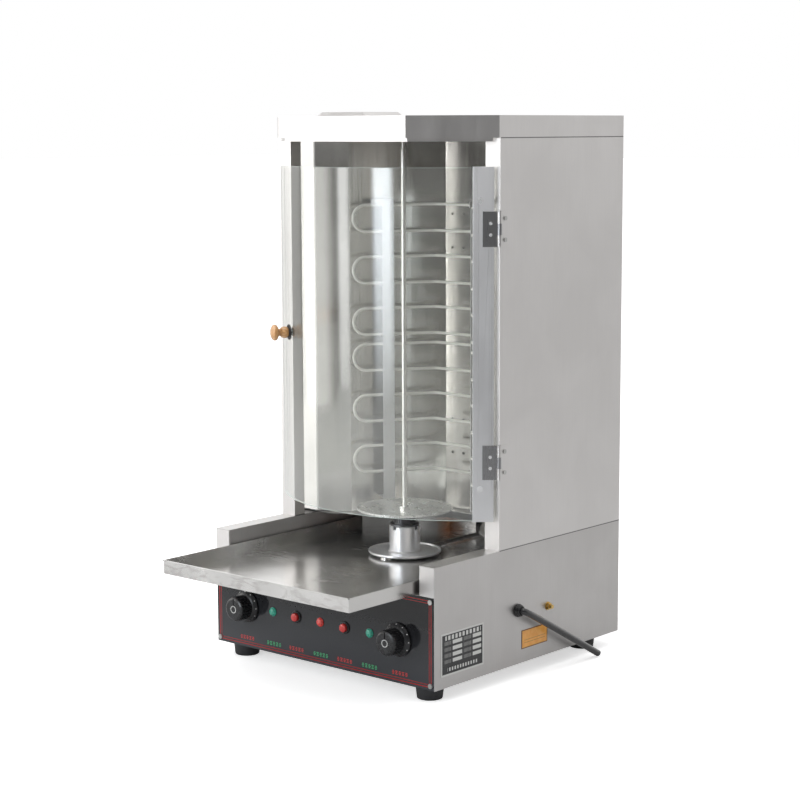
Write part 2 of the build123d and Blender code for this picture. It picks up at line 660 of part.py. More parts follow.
# ---------------------------------------------------------------- drip tray
TRAY_PLAN = [
    (-TRAY_HALF, TRAY_FRONT),
    (TRAY_HALF, TRAY_FRONT),
    (TRAY_HALF, TRAY_SIDE_END),
    (TRAY_BACK_HALF, TRAY_BACK),
    (-TRAY_BACK_HALF, TRAY_BACK),
    (-TRAY_HALF, TRAY_SIDE_END),
]
HEM = 2.4


def slot_plan(half):
    """Open-ended slot that the drive shaft passes as the tray slides."""
    with Locations((0, SLOT_FRONT)):
        Circle(half)
    with Locations((0, (SLOT_FRONT + TRAY_BACK + 5) / 2)):
        Rectangle(2 * half, TRAY_BACK + 5 - SLOT_FRONT)


with BuildPart() as drip_tray:
    upright(TRAY_PLAN, TRAY_BOTTOM, TRAY_TOP)
    with BuildSketch(Plane.XY.offset(TRAY_BOTTOM + TRAY_SHEET)):
        Polygon(*TRAY_PLAN, align=None)
        offset(amount=-TRAY_SHEET, kind=Kind.INTERSECTION)
    extrude(amount=30, mode=Mode.SUBTRACT)
    with BuildSketch(Plane.XY.offset(TRAY_TOP - 1.6)):
        Polygon(*TRAY_PLAN, align=None)
        offset(amount=HEM - TRAY_SHEET, kind=Kind.INTERSECTION)
        Polygon(*TRAY_PLAN, align=None, mode=Mode.SUBTRACT)
    extrude(amount=1.6)
    with BuildSketch(Plane.XY.offset(TRAY_BOTTOM)):
        slot_plan(SLOT_HALF + TRAY_SHEET)
        with Locations((0, TRAY_BACK + 20)):
            Rectangle(60, 40, mode=Mode.SUBTRACT)
    extrude(amount=3.2)
    with BuildSketch(Plane.XY.offset(TRAY_BOTTOM - 1)):
        slot_plan(SLOT_HALF)
    extrude(amount=40, mode=Mode.SUBTRACT)

# ---------------------------------------------------------------- controls
KNOB_FACE = PANEL_FACE - 1.2


def thermostat_knob(x):
    """A skirted knob with a ribbed grip; its stem enters the thermostat behind the panel."""
    plane = Plane(origin=(x, KNOB_FACE, CONTROL_Z), x_dir=(1, 0, 0), z_dir=(0, -1, 0))
    turned(
        [(0, 0), (23.6, 0), (24, 0.6), (24, 2), (21, 5.5), (18.2, 7)]
        + [(18.2, 24), (17, 27), (14, 28.4), (0, 28.4)],
        plane,
    )
    with BuildSketch(plane.offset(8)) as flutes:
        with PolarLocations(19.2, 18):
            Circle(1.7)
    extrude(flutes.sketch, amount=25, mode=Mode.SUBTRACT)
    with BuildSketch(plane.offset(26.4)) as pointer:
        with Locations((0, 10)):
            Rectangle(1.6, 12)
    extrude(pointer.sketch, amount=4, mode=Mode.SUBTRACT)
    rod((x, KNOB_FACE + 16, CONTROL_Z), (0, -1, 0), 3 - RUNNING, 17)


with BuildPart() as thermostat_knob_left:
    thermostat_knob(-KNOB_PITCH)

with BuildPart() as thermostat_knob_right:
    thermostat_knob(KNOB_PITCH)

PANEL_BACK = FRONT + SHEET

with BuildPart() as thermostats:
    for x in KNOBS:
        block((x - 19, PANEL_BACK + 3, CONTROL_Z - 16), (x + 19, PANEL_BACK + 30, CONTROL_Z + 16))
        rod((x, PANEL_BACK + 3, CONTROL_Z), (0, -1, 0), 7, 3)
        rod((x, PANEL_BACK - 2, CONTROL_Z), (0, 1, 0), 3, 20, Mode.SUBTRACT)


def pilot_lamp(x, radius):
    """A domed lens with its body behind the panel."""
    plane = Plane(origin=(x, PANEL_FACE, CONTROL_Z), x_dir=(1, 0, 0), z_dir=(0, -1, 0))
    turned(
        [(0, -22), (5, -22), (5, 0), (radius, 0), (radius, 1.2)]
        + [(radius - 1, 2), (radius * 0.7, 3.4), (0, 4.2)],
        plane,
    )


with BuildPart() as pilot_lamps:
    for x in [*GREENS, 0.0]:
        pilot_lamp(x, 6.7)

with BuildPart() as switch_bodies:
    for x in BUTTONS:
        plane = Plane(origin=(x, PANEL_FACE, CONTROL_Z), x_dir=(1, 0, 0), z_dir=(0, -1, 0))
        turned([(6.4, -20), (7.6, -20), (7.6, 0), (9.2, 0), (9.2, 1.6), (8.2, 2.4), (6.4, 2.4)], plane)
        block((x - 10, PANEL_FACE + 20, CONTROL_Z - 9), (x + 10, PANEL_FACE + 34, CONTROL_Z + 9))


def push_button(x):
    """A round cap that travels into its switch."""
    plane = Plane(origin=(x, PANEL_FACE, CONTROL_Z), x_dir=(1, 0, 0), z_dir=(0, -1, 0))
    turned([(0, -14), (6.3, -14), (6.3, 5), (5.4, 6.2), (3, 6.8), (0, 7)], plane)


with BuildPart() as button_left:
    push_button(-BUTTON_PITCH)

with BuildPart() as button_right:
    push_button(BUTTON_PITCH)

# ---------------------------------------------------------------- right side fittings
with BuildPart() as cable_gland:
    turned(
        [(CORD_R + 0.3, -9), (GLAND_R, -9), (GLAND_R, 0), (9.6, 0), (9.6, 3)]
        + [(8.2, 4), (8.2, 6.5), (7, 8), (CORD_R + 0.3, 8)],
        Plane(origin=(HALF_W, GLAND_Y, GLAND_Z), x_dir=(0, 1, 0), z_dir=(1, 0, 0)),
    )

with BuildPart() as power_cord:
    inlet = (HALF_W - 24, GLAND_Y, GLAND_Z)
    outlet = (HALF_W + 9, GLAND_Y, GLAND_Z)
    elbow = (HALF_W + 16, GLAND_Y + 20, GLAND_Z - 11)
    tip = (*CORD_TIP, CORD_R - FOOT_H)
    with BuildLine() as path:
        Line(inlet, outlet)
        Bezier(outlet, (HALF_W + 15, GLAND_Y, GLAND_Z), (HALF_W + 15.4, GLAND_Y + 10, GLAND_Z - 5.5), elbow)
        Bezier(elbow, (HALF_W + 18, GLAND_Y + 53, GLAND_Z - 29), (HALF_W + 21, 135, 5), tip)
    with BuildSketch(Plane(origin=inlet, z_dir=(1, 0, 0))) as section:
        Circle(CORD_R)
    sweep(section.sketch, path=path.wires()[0])

with BuildPart() as earth_stud:
    stud = Plane(origin=(HALF_W, EARTH_Y, EARTH_Z), x_dir=(0, 1, 0), z_dir=(1, 0, 0))
    turned([(0, -8), (3, -8), (3, 0), (6.2, 0), (6.2, 1), (3, 1), (3, 9), (0, 9)], stud)
    with BuildSketch(stud.offset(1)) as nut:
        RegularPolygon(5.2, 6)
    extrude(nut.sketch, amount=3.6)

with BuildPart() as side_plates:
    block((HALF_W, -172.5, 17), (HALF_W + 0.5, -78.5, 78))
    block((HALF_W, 10, 20), (HALF_W + 0.4, 72, 48))

with BuildPart() as case_screws:
    for x, z in PANEL_CORNERS:
        pan_head((x, PANEL_FACE, z), (0, -1, 0), 3.6, 1.8, 1.6, 7)
    for x, z in BACK_SCREWS:
        pan_head((x, BACK, z), (0, 1, 0), 3.6, 1.8, 1.6, 7)

# ---------------------------------------------------------------- wiring
with BuildPart() as wiring_harness:
    with BuildLine() as trunk:
        Spline(
            (186, GLAND_Y, GLAND_Z),
            (168, -10, 60),
            (120, -60, 30),
            (60, -120, 24),
            (0, -135, 24),
            (-90, -135, 24),
            (-150, -135, 30),
        )
    with BuildSketch(Plane(origin=trunk.line @ 0, z_dir=trunk.line % 0)) as section:
        Circle(4)
    sweep()

PIECES = dict(
    base_floor=base_floor,
    base_side_left=base_side_left,
    base_side_right=base_side_right,
    base_back=base_back,
    deck=deck,
    front_panel=front_panel,
    panel_overlay=panel_overlay,
    rubber_feet=rubber_feet,
    foot_screws=foot_screws,
    cabinet_side_left=cabinet_side_left,
    cabinet_side_right=cabinet_side_right,
    cabinet_back=cabinet_back,
    cabinet_floor=cabinet_floor,
    case_screws=case_screws,
    reflector_left=reflector_left,
    reflector_right=reflector_right,
    reflector_back=reflector_back,
    insulation=insulation,
    top_cap=top_cap,
    ceiling_plate=ceiling_plate,
    cap_cover=cap_cover,
    upper_bushing=upper_bushing,
    heating_elements_lower=heating_elements_lower,
    heating_elements_upper=heating_elements_upper,
    element_bushes=element_bushes,
    element_terminals=element_terminals,
    element_straps=element_straps,
    gearmotor=gearmotor,
    motor_bracket=motor_bracket,
    shaft_bearing=shaft_bearing,
    drive_shaft=drive_shaft,
    drive_hub=drive_hub,
    spit_coupling=spit_coupling,
    meat_disc=meat_disc,
    disc_nut=disc_nut,
    spit_rod=spit_rod,
    door_glass=door_glass,
    door_rail=door_rail,
    door_clamp=door_clamp,
    door_screws=door_screws,
    door_hinge_leaves=door_hinge_leaves,
    frame_hinge_leaves=frame_hinge_leaves,
    hinge_pins=hinge_pins,
    frame_hinge_screws=frame_hinge_screws,
    door_knob=door_knob,
    door_knob_screw=door_knob_screw,
    door_knob_washers=door_knob_washers,
    drip_tray=drip_tray,
    thermostat_knob_left=thermostat_knob_left,
    thermostat_knob_right=thermostat_knob_right,
    thermostats=thermostats,
    pilot_lamps=pilot_lamps,
    switch_bodies=switch_bodies,
    button_left=button_left,
    button_right=button_right,
    cable_gland=cable_gland,
    power_cord=power_cord,
    earth_stud=earth_stud,
    side_plates=side_plates,
    wiring_harness=wiring_harness,
)
for name, piece in PIECES.items():
    piece.part.label = name
    export_step(piece.part, f"parts/{name}.step")
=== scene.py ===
"""Looks of a counter-top vertical broiler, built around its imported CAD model. Metres, Z up."""

import json
from math import cos, pi, radians, sin

import bmesh
import bpy
from mathutils import Matrix, Vector


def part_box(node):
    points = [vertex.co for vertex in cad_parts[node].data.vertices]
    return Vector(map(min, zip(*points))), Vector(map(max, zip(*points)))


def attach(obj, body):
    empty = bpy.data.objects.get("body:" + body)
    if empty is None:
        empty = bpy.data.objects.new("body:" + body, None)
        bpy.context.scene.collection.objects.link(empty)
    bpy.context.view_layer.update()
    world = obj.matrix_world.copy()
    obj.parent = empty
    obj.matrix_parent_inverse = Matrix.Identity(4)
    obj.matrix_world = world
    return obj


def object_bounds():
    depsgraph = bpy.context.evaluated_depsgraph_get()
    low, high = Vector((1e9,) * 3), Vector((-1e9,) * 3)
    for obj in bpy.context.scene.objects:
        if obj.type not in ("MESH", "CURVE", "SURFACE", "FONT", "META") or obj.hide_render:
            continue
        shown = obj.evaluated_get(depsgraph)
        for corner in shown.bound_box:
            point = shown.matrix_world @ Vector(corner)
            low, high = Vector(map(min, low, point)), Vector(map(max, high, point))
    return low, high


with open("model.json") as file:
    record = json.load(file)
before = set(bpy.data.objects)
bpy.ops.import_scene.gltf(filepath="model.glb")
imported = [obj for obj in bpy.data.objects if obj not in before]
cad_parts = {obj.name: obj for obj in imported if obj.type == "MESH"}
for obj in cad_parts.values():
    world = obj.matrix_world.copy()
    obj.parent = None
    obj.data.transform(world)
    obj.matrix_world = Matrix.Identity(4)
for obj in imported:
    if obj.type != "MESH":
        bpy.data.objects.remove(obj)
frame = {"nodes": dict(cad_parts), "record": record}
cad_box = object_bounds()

MM = 0.001
NODES = frame["nodes"]
SLOT_OF = {part["node"]: part["material_slot"] for part in frame["record"]["subparts"]}


# ------------------------------------------------------------------ node-tree short hand
class Shader:
    """One material and the few node patterns that the finishes below are made of."""

    def __init__(self, name):
        self.material = bpy.data.materials.new(name)
        self.material.use_nodes = True
        self.tree = self.material.node_tree
        self.tree.nodes.clear()
        self.place = self.add("TexCoord").outputs["Object"]

    def add(self, kind, inputs=None, **settings):
        node = self.tree.nodes.new("ShaderNode" + kind)
        for key, value in settings.items():
            setattr(node, key, value)
        for key, value in (inputs or {}).items():
            if isinstance(value, bpy.types.NodeSocket):
                self.tree.links.new(value, node.inputs[key])
            else:
                node.inputs[key].default_value = value
        return node

    def noise(self, scale, stretch=(1, 1, 1), detail=3.0, distortion=0.0):
        """Noise over the object's own metres; stretch above 1 makes it finer along that axis."""
        spread = self.add("Mapping", {"Vector": self.place, "Scale": stretch})
        inputs = {"Vector": spread.outputs[0], "Scale": scale, "Detail": detail}
        return self.add("TexNoise", {**inputs, "Distortion": distortion}).outputs[0]

    def span(self, value, low, high, start=0.35, end=0.65):
        """The value's start..end range spread over low..high."""
        limits = {"From Min": start, "From Max": end, "To Min": low, "To Max": high}
        return self.add("MapRange", {"Value": value, **limits}).outputs[0]

    def math(self, operation, a, b=0.0):
        return self.add("Math", {0: a, 1: b}, operation=operation).outputs[0]

    def blend(self, factor, a, b):
        """A colour between two colours."""
        a, b = [c if isinstance(c, bpy.types.NodeSocket) else (*c, 1) for c in (a, b)]
        return self.add("MixRGB", {"Fac": factor, "Color1": a, "Color2": b}).outputs[0]

    def bump(self, height, depth, strength=1.0, under=None):
        """A normal that rises and falls by depth metres."""
        inputs = {"Height": height, "Distance": depth, "Strength": strength}
        if under:
            inputs["Normal"] = under
        return self.add("Bump", inputs).outputs[0]

    def surface(self, shader):
        output = self.add("OutputMaterial")
        self.tree.links.new(shader, output.inputs["Surface"])
        return self.material

    def finish(self, **inputs):
        """A Principled surface, with its inputs written in lower case."""
        names = {key.replace("_", " ").title(): value for key, value in inputs.items()}
        if "Base Color" in names and not isinstance(names["Base Color"], bpy.types.NodeSocket):
            names["Base Color"] = (*names["Base Color"], 1)
        names = {key.replace("Ior", "IOR"): value for key, value in names.items()}
        return self.surface(self.add("BsdfPrincipled", names).outputs[0])


# ------------------------------------------------------------------ finishes
def joint_shadow(s):
    """1 on the outer sheets beside the two joints of the case: cabinet on base, and cap on cabinet."""
    _, y, z = s.add("SeparateXYZ", {"Vector": s.place}).outputs
    low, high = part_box("cabinet_side_right")
    half_gap, front_skin = 0.7 * MM, 1 * MM
    beside = 0.0
    for level in (low.z, high.z):
        off = s.math("ABSOLUTE", s.math("SUBTRACT", z, level))
        beside = s.math("MAXIMUM", s.math("LESS_THAN", off, half_gap), beside)
    return s.math("MULTIPLY", beside, s.math("GREATER_THAN", y, low.y + front_skin))


def rolled_steel(name, light, dark, rough, grain, wave=0.0, jointed=False):
    """Rolled sheet: fine grain lines, cloudy polish, faint smears, and a slow waviness."""
    s = Shader(name)
    lines = s.noise(900, grain, detail=2)
    clouds = s.noise(9, detail=5, distortion=0.6)
    smears = s.noise(26, (1, 1, 0.25), detail=4)
    tone = s.blend(s.span(clouds, 0, 1), dark, light)
    tone = s.blend(s.span(lines, 0, 0.3), tone, dark)
    if jointed:
        tone = s.blend(s.math("MULTIPLY", joint_shadow(s), 0.75), tone, (0.04, 0.04, 0.04))
    polish = s.math("ADD", s.span(smears, rough * 0.9, rough * 1.12), s.span(lines, -0.02, 0.02))
    fine = s.bump(lines, 0.000004, 0.4)
    slow = s.bump(s.noise(5, (2.6, 2.6, 0.5), detail=2), wave, under=fine)
    return s.finish(base_color=tone, metallic=1.0, roughness=polish, normal=slow)


# Stretch of noise into grain lines that run up and down.
UPRIGHT_GRAIN = (1, 1, 0.02)


def stainless():
    light, dark = (0.73, 0.712, 0.7), (0.69, 0.672, 0.66)
    return rolled_steel("stainless", light, dark, 0.4, UPRIGHT_GRAIN, 0.2 * MM, jointed=True)


def base_steel():
    light, dark = (0.61, 0.595, 0.585), (0.57, 0.555, 0.545)
    return rolled_steel("base_steel", light, dark, 0.4, UPRIGHT_GRAIN, 0.2 * MM, jointed=True)


def strap_steel():
    light, dark = (0.95, 0.955, 0.97), (0.9, 0.905, 0.92)
    return rolled_steel("strap_steel", light, dark, 0.42, UPRIGHT_GRAIN, 0.4 * MM)


def rail_steel():
    light, dark = (0.96, 0.965, 0.98), (0.88, 0.885, 0.9)
    return rolled_steel("rail_steel", light, dark, 0.36, UPRIGHT_GRAIN, 1.2 * MM)


def leaf_steel():
    return rolled_steel("leaf_steel", (0.42, 0.42, 0.43), (0.36, 0.36, 0.37), 0.3, (1, 1, 0.05))


def reflector_steel():
    """Bright-rolled reflector sheet: heat-dulled and rippled inside, satin on its front flange."""
    s = Shader("reflector_steel")
    flange = s.add("SeparateXYZ", {"Vector": s.place}).outputs[1]
    flange = s.math("LESS_THAN", flange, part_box("reflector_left")[0].y + 1 * MM)
    streaks = s.noise(34, (1, 1, 0.05), detail=3, distortion=0.3)
    clouds = s.noise(8, detail=5, distortion=0.8)
    tone = s.blend(s.span(clouds, 0, 1), (0.6, 0.588, 0.56), (0.72, 0.705, 0.67))
    tone = s.blend(s.span(streaks, 0, 0.35), tone, (0.48, 0.465, 0.44))
    tone = s.blend(flange, tone, (0.74, 0.73, 0.71))
    rough = s.math("ADD", s.span(clouds, 0.18, 0.25), s.math("MULTIPLY", flange, 0.2))
    ripple = s.bump(streaks, 0.0006)
    slow = s.bump(s.noise(5, (2.6, 2.6, 0.5), detail=2), 0.003, under=ripple)
    return s.finish(base_color=tone, metallic=1.0, roughness=rough, normal=slow)


def tray_steel(tray):
    """Brushed tray: brown heat tint at its rear welds, a scuffed front rim, dark corner seams."""
    s = Shader("tray_steel")
    low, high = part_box(tray)
    lines = s.noise(700, (0.03, 1, 1), detail=2)
    clouds = s.noise(12, detail=5, distortion=0.5)
    tone = s.blend(s.span(clouds, 0, 1), (0.66, 0.65, 0.635), (0.72, 0.71, 0.695))
    x, y, _ = s.add("SeparateXYZ", {"Vector": s.place}).outputs
    weld_x, weld_y, sheet = 64 * MM, high.y, 1.5 * MM
    across = s.math("ABSOLUTE", s.math("SUBTRACT", s.math("ABSOLUTE", x), weld_x))
    along = s.math("ABSOLUTE", s.math("SUBTRACT", y, weld_y))
    away = s.math("ADD", across, s.math("ADD", along, s.span(s.noise(60), -6 * MM, 6 * MM)))
    tint = s.span(away, 0.85, 0.0, 6 * MM, 34 * MM)
    tone = s.blend(tint, tone, (0.55, 0.24, 0.1))
    rim = s.math("LESS_THAN", y, low.y + sheet)
    scuffs = s.span(s.noise(38, (1, 1, 2.5), detail=6, distortion=1.2), 0, 0.35, 0.5, 0.62)
    tone = s.blend(s.math("MULTIPLY", rim, scuffs), tone, (0.34, 0.31, 0.29))
    seam = s.math("MULTIPLY", rim, s.math("GREATER_THAN", s.math("ABSOLUTE", x), high.x - sheet))
    tone = s.blend(s.math("MULTIPLY", seam, 0.8), tone, (0.06, 0.05, 0.05))
    rough = s.math("ADD", s.span(clouds, 0.2, 0.27), s.span(lines, -0.02, 0.02))
    fine = s.bump(lines, 0.000004, 0.4)
    dents = s.bump(s.noise(6, (1, 1, 3), detail=2), 0.0022, under=fine)
    return s.finish(base_color=tone, metallic=0.95, roughness=rough, normal=dents)


def overlay(panel):
    """Glossy black film with a painted reflection that makes it paler at its foot, and two fine red rules
    set in from its edge.
    """
    s = Shader("overlay")
    low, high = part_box(panel)
    centre, half = (low + high) / 2, (high - low) / 2
    x, _, z = s.add("SeparateXYZ", {"Vector": s.place}).outputs
    aside = s.math("SUBTRACT", half.x, s.math("ABSOLUTE", s.math("SUBTRACT", x, centre.x)))
    above = s.math("SUBTRACT", half.z, s.math("ABSOLUTE", s.math("SUBTRACT", z, centre.z)))
    inset = s.math("MINIMUM", aside, above)
    rules = 0.0
    for place, width in ((4.5 * MM, 0.6 * MM), (8.0 * MM, 0.45 * MM)):
        off = s.math("ABSOLUTE", s.math("SUBTRACT", inset, place))
        rules = s.math("MAXIMUM", s.math("LESS_THAN", off, width), rules)
    dust = s.noise(300, detail=6)
    black = s.blend(s.span(dust, 0, 1), (0.006, 0.006, 0.007), (0.013, 0.013, 0.014))
    # Painted reflection: the film is coloured grey at its foot, fading to black three quarters of the way
    # up.
    black = s.blend(s.span(z, 0.0, 1.0, low.z, centre.z + half.z / 2), (0.05, 0.052, 0.058), black)
    tone = s.blend(rules, black, (0.42, 0.02, 0.02))
    wave = s.bump(s.noise(14, detail=1), 0.0004)
    rough = s.span(s.noise(40, detail=4), 0.06, 0.16)
    shine = {"specular_ior_level": 0.4, "coat_weight": 0.15}
    return s.finish(base_color=tone, roughness=rough, normal=wave, **shine)


def moulded(name, light, dark, rough, grain=900, depth=0.00004, **more):
    """Moulded or dipped plastic and rubber: a fine skin texture and a slow tone change."""
    s = Shader(name)
    skin = s.noise(grain, detail=3)
    tone = s.blend(s.span(s.noise(35, detail=4), 0, 1), dark, light)
    polish = s.span(s.noise(60, detail=4), rough * 0.8, rough * 1.25)
    return s.finish(base_color=tone, roughness=polish, normal=s.bump(skin, depth, 0.6), **more)


def rubber():
    return moulded("rubber", (0.035, 0.035, 0.037), (0.018, 0.018, 0.02), 0.55, 700, 0.00008)


def black_plastic():
    return moulded("black_plastic", (0.022, 0.022, 0.024), (0.012, 0.012, 0.013), 0.27)


def cord():
    return moulded("cord", (0.03, 0.03, 0.032), (0.014, 0.014, 0.015), 0.16, 500, coat_weight=0.7)


def red_plastic():
    return moulded("red_plastic", (0.75, 0.045, 0.035), (0.5, 0.02, 0.02), 0.22, coat_weight=0.5)


def insulation():
    return moulded("insulation", (0.7, 0.66, 0.56), (0.5, 0.46, 0.38), 0.95, 350, 0.0012)


def ceramic():
    return moulded("ceramic", (0.82, 0.78, 0.7), (0.7, 0.65, 0.56), 0.45, 600)


def cast_iron():
    return moulded("cast_iron", (0.2, 0.2, 0.205), (0.09, 0.09, 0.095), 0.42, 500, 0.0002, metallic=0.9)


def motor_paint():
    return moulded("motor_paint", (0.12, 0.13, 0.14), (0.08, 0.085, 0.09), 0.4, 450, 0.0001)


def plated(name, light, dark, rough, metal=1.0):
    """Bright plating with a faint lathe or draw texture; less metal gives a paler, chalkier sheen."""
    s = Shader(name)
    tone = s.blend(s.span(s.noise(45, detail=4), 0, 1, 0.2, 0.8), dark, light)
    polish = s.span(s.noise(90, detail=3), rough * 0.92, rough * 1.08, 0.2, 0.8)
    normal = s.bump(s.noise(700, (1, 1, 6), detail=2), 0.00001, 0.5)
    return s.finish(base_color=tone, metallic=metal, roughness=polish, normal=normal)


def chrome():
    return plated("chrome", (0.86, 0.86, 0.87), (0.78, 0.78, 0.79), 0.22)


def zinc():
    return plated("zinc", (0.62, 0.62, 0.6), (0.45, 0.45, 0.44), 0.32)


def brass():
    return plated("brass", (0.78, 0.56, 0.22), (0.6, 0.4, 0.14), 0.26)


def aluminium():
    return rolled_steel("aluminium", (0.74, 0.745, 0.77), (0.7, 0.705, 0.73), 0.33, UPRIGHT_GRAIN)


def element():
    """Oxidised heating tube: pale cream oxide with slightly darker patches."""
    s = Shader("element")
    patches = s.noise(55, detail=5)
    tone = s.blend(s.span(patches, 0, 1), (0.93, 0.91, 0.86), (0.99, 0.98, 0.94))
    rough = s.span(patches, 0.42, 0.28)
    return s.finish(base_color=tone, metallic=0.1, roughness=rough, normal=s.bump(patches, 0.0001))


def glass():
    """Clear bent glass: light passes straight through, with a film of haze and bright cut edges."""
    s = Shader("glass")
    geometry = s.add("NewGeometry")
    index = s.span(geometry.outputs["Backfacing"], 1.5, 1 / 1.5, 0, 1)
    fresnel = s.add("Fresnel", {"IOR": index}).outputs[0]
    haze = s.span(s.noise(7, (1, 1, 0.35), detail=4, distortion=0.8), 0.025, 0.06)
    normal = geometry.outputs["Normal"]
    upward = s.math("ABSOLUTE", s.add("SeparateXYZ", {"Vector": normal}).outputs[2])
    edge = s.math("GREATER_THAN", upward, 0.5)
    clear = s.add("BsdfTransparent", {"Color": (0.98, 0.985, 0.97, 1)}).outputs[0]
    film = s.add("BsdfDiffuse", {"Color": (0.93, 0.93, 0.91, 1)}).outputs[0]
    shine = s.add("BsdfGlossy", {"Color": (1, 1, 1, 1), "Roughness": 0.06}).outputs[0]
    cut = s.add("BsdfPrincipled", {"Base Color": (0.78, 0.88, 0.85, 1), "Roughness": 0.25}).outputs[0]
    body = s.add("MixShader", {0: haze, 1: clear, 2: film}).outputs[0]
    face = s.add("MixShader", {0: s.math("MULTIPLY", fresnel, 1.2), 1: body, 2: shine}).outputs[0]
    cut_share = s.math("MULTIPLY", edge, 0.75)
    return s.surface(s.add("MixShader", {0: cut_share, 1: face, 2: cut}).outputs[0])


def lens_by_place():
    """Pilot lenses: green at the sides, red for the middle lamp."""
    s = Shader("pilot_lens")
    middle_reach = 30 * MM
    x = s.add("SeparateXYZ", {"Vector": s.place}).outputs[0]
    middle = s.math("LESS_THAN", s.math("ABSOLUTE", x), middle_reach)
    depth = s.span(s.noise(400, detail=3), 0, 1)
    green = s.blend(depth, (0.012, 0.27, 0.17), (0.03, 0.4, 0.28))
    red = s.blend(depth, (0.6, 0.02, 0.02), (0.8, 0.07, 0.05))
    glow = s.blend(middle, green, red)
    return s.finish(base_color=glow, roughness=s.span(depth, 0.1, 0.2), coat_weight=0.7)


def wood(knob):
    """Varnished turned beech: growth rings across the turning, fine pores along it."""
    s = Shader("wood")
    low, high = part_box(knob)
    centre = (low + high) / 2
    moved = s.add("Mapping", {"Vector": s.place, "Location": -centre}).outputs[0]
    rings = s.add("TexWave", {"Vector": moved, "Scale": 70, "Distortion": 2.4, "Detail": 2.5},
                  wave_type="RINGS", rings_direction="X").outputs[1]
    pores = s.noise(1500, (1, 0.1, 1), detail=2)
    tone = s.blend(s.span(rings, 0, 1, 0, 1), (0.62, 0.3, 0.1), (0.82, 0.49, 0.22))
    tone = s.blend(s.span(pores, 0, 0.35), tone, (0.36, 0.15, 0.05))
    normal = s.bump(pores, 0.00005, 0.5)
    return s.finish(base_color=tone, roughness=0.34, normal=normal, coat_weight=0.5, coat_roughness=0.12)


def plate_print(plates):
    """Two printed plates: a black one of blank fields and blocks, and an orange one with blank lines."""
    s = Shader("plate_print")
    low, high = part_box(plates)
    _, y, z = s.add("SeparateXYZ", {"Vector": s.place}).outputs

    def within(value, start, end):
        return s.math("MULTIPLY", s.math("GREATER_THAN", value, start), s.math("LESS_THAN", value, end))

    def inset(start, end, bottom, top):
        """Distance in from the edge of a rectangle."""
        beside = s.math("MINIMUM", s.math("SUBTRACT", y, start), s.math("SUBTRACT", end, y))
        above = s.math("MINIMUM", s.math("SUBTRACT", z, bottom), s.math("SUBTRACT", top, z))
        return s.math("MINIMUM", beside, above)

    def share(value, start, length):
        return s.math("DIVIDE", s.math("SUBTRACT", value, start), length)

    def ticks(value, count, filled, start, end):
        """Blocks repeated along a value, kept between start and end."""
        block = s.math("LESS_THAN", s.math("FRACT", s.math("MULTIPLY", value, count)), filled)
        return s.math("MULTIPLY", block, within(value, start, end))

    width, bottom, height = 94 * MM, low.z, high.z - low.z  # of the black plate
    across, up = share(y, low.y, width), share(z, bottom, height)
    rows = ticks(up, 7.0, 0.62, 0.29, 0.8)
    fields = s.math("MAXIMUM", within(across, 0.27, 0.49), within(across, 0.74, 0.94))
    small = s.math("MAXIMUM", ticks(across, 34, 0.5, 0.07, 0.24), ticks(across, 34, 0.5, 0.53, 0.71))
    heading = s.math("MULTIPLY", ticks(across, 12, 0.6, 0.1, 0.93), within(up, 0.83, 0.93))
    footing = s.math("MULTIPLY", ticks(across, 16, 0.5, 0.15, 0.85), within(up, 0.1, 0.18))
    print_mask = s.math("MULTIPLY", rows, s.math("MAXIMUM", fields, s.math("MULTIPLY", small, 0.4)))
    print_mask = s.math("MAXIMUM", print_mask, s.math("MAXIMUM", heading, footing))
    rim = s.math("LESS_THAN", inset(low.y, low.y + width, bottom, high.z), 2.6 * MM)
    black = s.blend(s.span(s.noise(200), 0, 1), (0.014, 0.014, 0.015), (0.026, 0.026, 0.027))
    first = s.blend(s.math("MAXIMUM", rim, print_mask), black, (0.68, 0.68, 0.66))
    orange_width, orange_bottom, orange_top = 62 * MM, 20 * MM, 48 * MM
    line_pitch, lines_bottom, lines_top, margin = 4 * MM, 24 * MM, 33 * MM, 6 * MM
    depth = inset(high.y - orange_width, high.y, orange_bottom, orange_top)
    lines = ticks(z, 1 / line_pitch, 0.18, lines_bottom, lines_top)
    lines = s.math("MULTIPLY", lines, s.math("GREATER_THAN", depth, margin))
    orange = s.blend(s.span(s.noise(120), 0, 1), (0.92, 0.4, 0.07), (0.97, 0.48, 0.11))
    edge = s.math("LESS_THAN", depth, 1.5 * MM)
    second = s.blend(s.math("MAXIMUM", edge, s.math("MULTIPLY", lines, 0.6)), orange, (0.2, 0.09, 0.03))
    tone = s.blend(s.math("GREATER_THAN", y, (low.y + high.y) / 2), first, second)
    return s.finish(base_color=tone, roughness=s.span(s.noise(80), 0.28, 0.4), coat_weight=0.3)


def ink(name, colour):
    """Screen-printed ink with a slightly uneven film."""
    s = Shader(name)
    tone = s.blend(s.span(s.noise(900), 0, 1), colour, [0.7 * c for c in colour])
    return s.finish(base_color=tone, roughness=s.span(s.noise(300), 0.3, 0.45))


